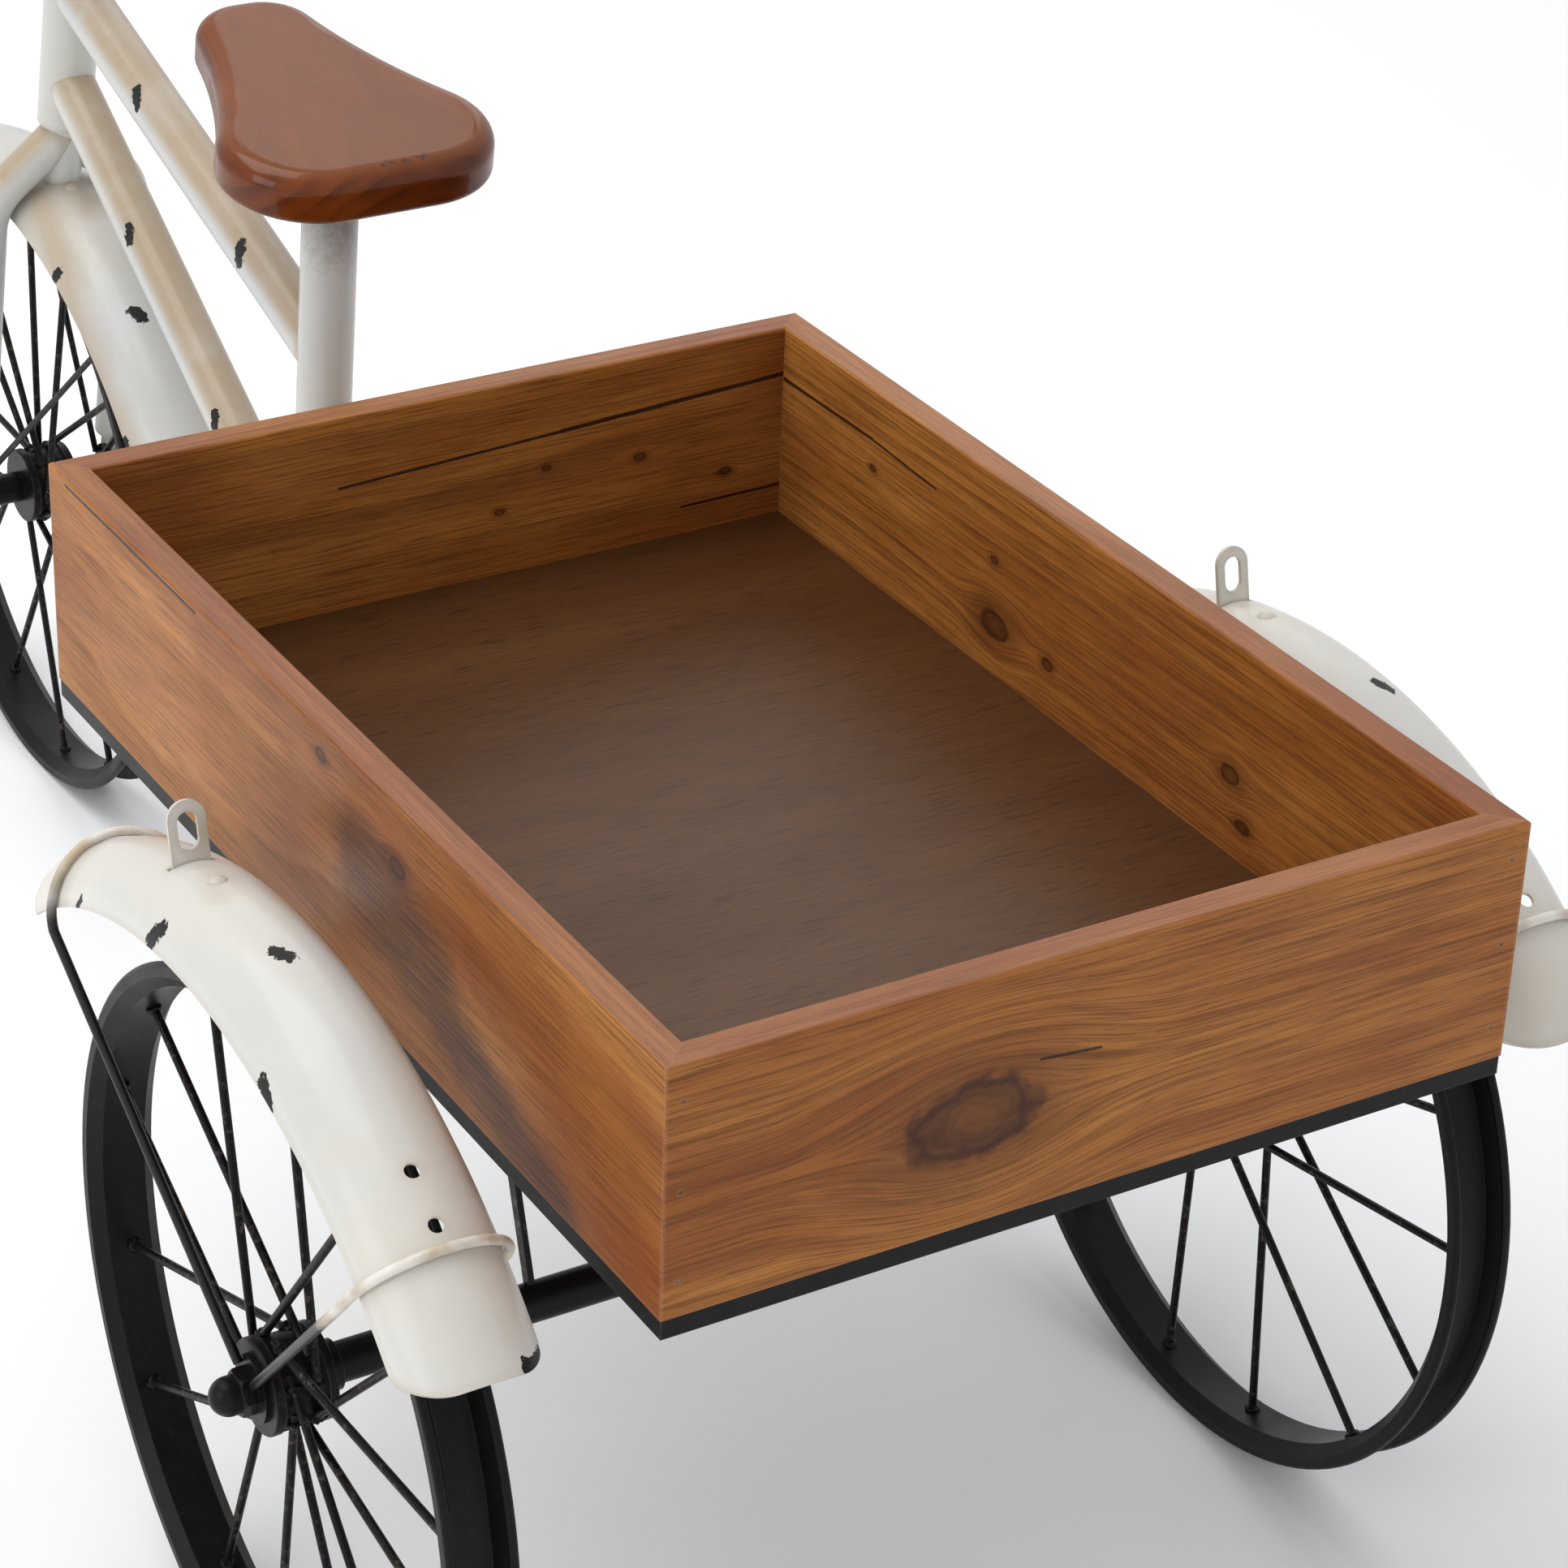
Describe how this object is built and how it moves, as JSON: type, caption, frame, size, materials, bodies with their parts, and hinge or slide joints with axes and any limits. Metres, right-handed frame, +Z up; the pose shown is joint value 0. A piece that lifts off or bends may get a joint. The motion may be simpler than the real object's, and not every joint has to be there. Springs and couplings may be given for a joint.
{
  "type": "plant stand",
  "caption": "Plant stand in the shape of a cargo tricycle: open wooden planter tray over bare spoked rims, white fenders and frame, carved wooden saddle, steering fork.",
  "frame": {"origin": "on the ground, under the middle of the overall length and on the plane of symmetry", "axes": "+X from the front wheel towards the planter, +Y towards the bicycle's right side, +Z up"},
  "size_m": [1.2963, 0.5966, 0.7759],
  "materials": {
    "box_wood": "knotty fir, stained and oiled",
    "floor_ply": "grey-brown plywood, matt",
    "saddle_wood": "red-brown stain under gloss varnish",
    "grip_wood": "turned wood under gloss varnish",
    "white_enamel": "off-white enamel with dark chips",
    "black_enamel": "black enamel, satin, worn at welds",
    "zinc_steel": "plain steel screws and pins"
  },
  "bodies": {
    "frame": {"board_left": "box_wood", "board_right": "box_wood", "board_front": "box_wood", "board_rear": "box_wood", "floor_panel": "floor_ply", "saddle": "saddle_wood", "head_tube": "white_enamel", "lower_shell": "white_enamel", "seat_tube": "white_enamel", "top_tube": "white_enamel", "down_tube": "white_enamel", "chain_stay_left": "white_enamel", "chain_stay_right": "white_enamel", "tray_brace_left": "white_enamel", "tray_brace_right": "white_enamel", "fender_left": "white_enamel", "fender_right": "white_enamel", "fender_tab_left": "white_enamel", "fender_tab_right": "white_enamel", "rail_left": "black_enamel", "rail_right": "black_enamel", "rail_front": "black_enamel", "rail_rear": "black_enamel", "cross_bar_front": "black_enamel", "cross_bar_rear": "black_enamel", "axle_tube": "black_enamel", "stub_axle_left": "black_enamel", "stub_axle_right": "black_enamel", "washer_left": "black_enamel", "washer_right": "black_enamel", "cap_nut_left": "black_enamel", "cap_nut_right": "black_enamel", "axle_strut_left": "black_enamel", "axle_strut_right": "black_enamel", "saddle_plate": "black_enamel", "fender_stays_left": "black_enamel", "fender_stays_right": "black_enamel", "corner_nails": "zinc_steel", "tray_screws": "zinc_steel", "saddle_screws": "zinc_steel"},
    "fork": {"steerer": "white_enamel", "handlebar": "white_enamel", "front_fender": "white_enamel", "head_collar": "white_enamel", "fork_leg_left": "white_enamel", "fork_leg_right": "white_enamel", "front_axle": "black_enamel", "front_nuts": "black_enamel", "front_stays": "black_enamel", "grip_left": "grip_wood", "grip_right": "grip_wood"},
    "front_wheel": {"front_wheel_rim": "black_enamel", "front_wheel_hub": "black_enamel", "front_wheel_spokes": "black_enamel"},
    "rear_wheel_left": {"left_wheel_rim": "black_enamel", "left_wheel_hub": "black_enamel", "left_wheel_spokes": "black_enamel"},
    "rear_wheel_right": {"right_wheel_rim": "black_enamel", "right_wheel_hub": "black_enamel", "right_wheel_spokes": "black_enamel"}
  },
  "joints": [
    {"name": "steering", "type": "hinge", "parent": "frame", "child": "fork", "pos_m": [-0.39934, 0, 0.437], "axis": [0.2419, 0, 0.9703], "range_deg": [-40, 40]},
    {"name": "front_wheel_spin", "type": "hinge", "parent": "fork", "child": "front_wheel", "pos_m": [-0.46185, 0, 0.1863], "axis": [0, 1, 0], "continuous": true},
    {"name": "rear_wheel_left_spin", "type": "hinge", "parent": "frame", "child": "rear_wheel_left", "pos_m": [0.41555, -0.24859, 0.1863], "axis": [0, 1, 0], "continuous": true},
    {"name": "rear_wheel_right_spin", "type": "hinge", "parent": "frame", "child": "rear_wheel_right", "pos_m": [0.41555, 0.24859, 0.1863], "axis": [0, 1, 0], "continuous": true}
  ]
}
